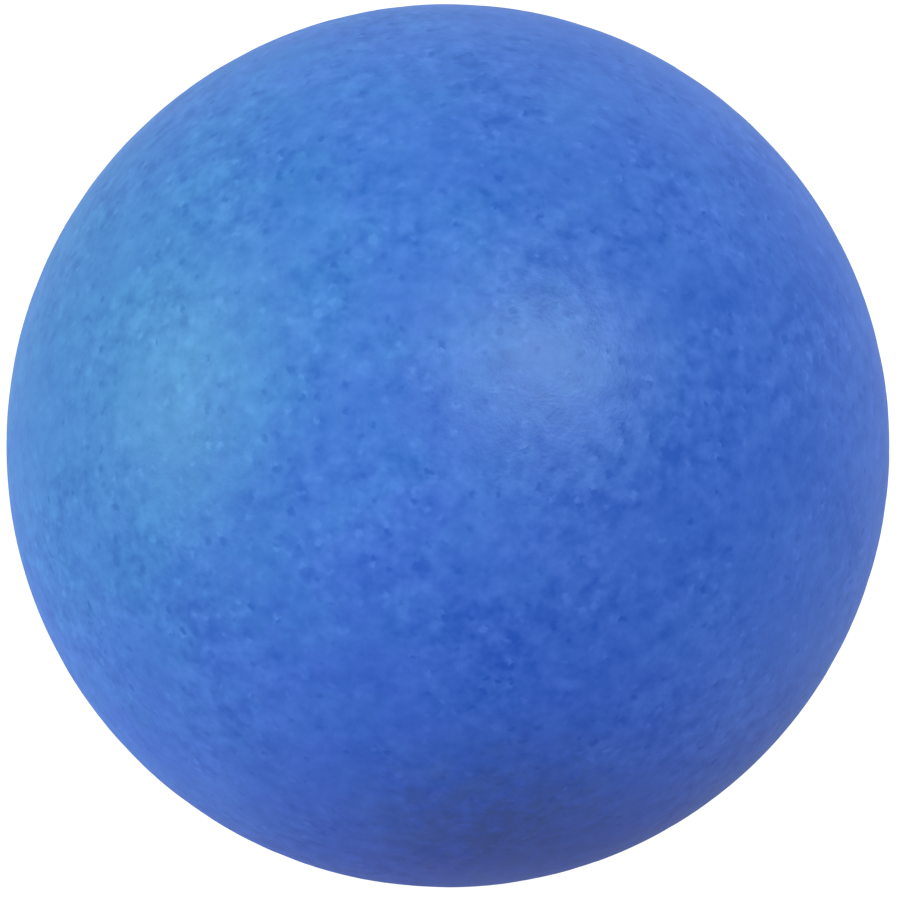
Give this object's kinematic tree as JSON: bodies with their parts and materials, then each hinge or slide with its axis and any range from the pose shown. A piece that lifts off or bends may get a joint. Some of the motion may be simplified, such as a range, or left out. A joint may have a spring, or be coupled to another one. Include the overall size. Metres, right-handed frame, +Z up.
{
  "type": "hockey ball",
  "caption": "Low-bounce street hockey ball of soft blue PVC: a hollow matt sphere with a welded equator and a flush vent plug.",
  "frame": {"origin": "the lowest point of the ball, where it touches the floor", "axes": "+Z up through both poles, square to the equator weld; +Y towards the side that carries the vent plug; +X completes the right-handed frame"},
  "size_m": [0.0662, 0.0662, 0.066],
  "materials": {
    "shell": "soft matt PVC, faintly mottled blue with a fine grain",
    "seam": "trimmed PVC weld, a little smoother and darker than the shell",
    "plug": "moulded PVC, satin"
  },
  "bodies": {
    "root": {"upper_half_shell": "shell", "lower_half_shell": "shell", "weld_seam": "seam", "vent_plug": "plug"}
  },
  "joints": []
}
